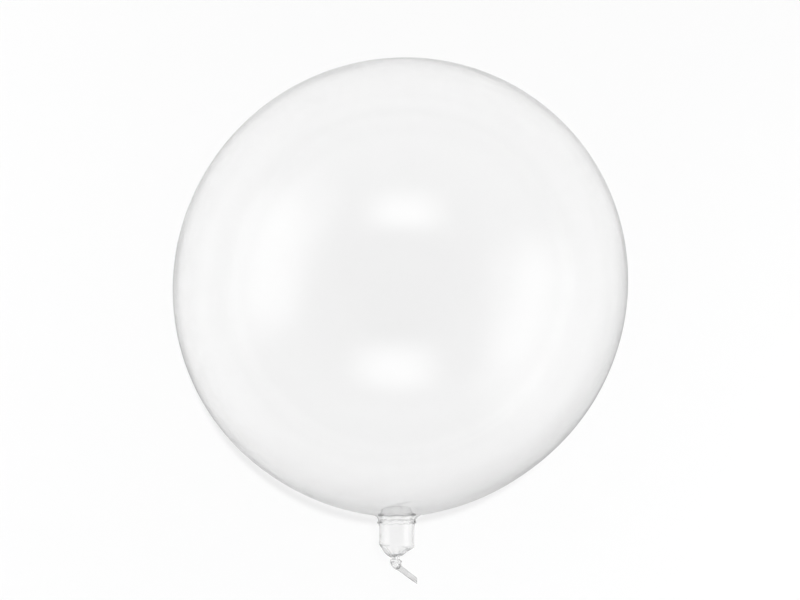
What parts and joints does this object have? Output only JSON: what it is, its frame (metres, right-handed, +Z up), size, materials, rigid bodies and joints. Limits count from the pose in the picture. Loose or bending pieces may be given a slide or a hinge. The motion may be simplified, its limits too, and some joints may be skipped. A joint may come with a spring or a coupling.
{
  "type": "clear bubble balloon",
  "caption": "Blown clear film ball with a short moulded neck, tied off in a knot with a cut tail, lying on its side.",
  "frame": {"origin": "middle of the flat spot on which the ball rests, on the floor", "axes": "+Z up, away from the floor; +Y along the balloon's own axis from the knot towards the crown, so the neck, knot and tail point to -Y; +X to the right of someone who looks down on it with the neck nearest them"},
  "size_m": [0.3998, 0.4629, 0.3976],
  "materials": {
    "clear_film": "glossy, colourless and fully see-through stretched plastic film"
  },
  "bodies": {
    "root": {"bubble_envelope": "clear_film"}
  },
  "joints": []
}
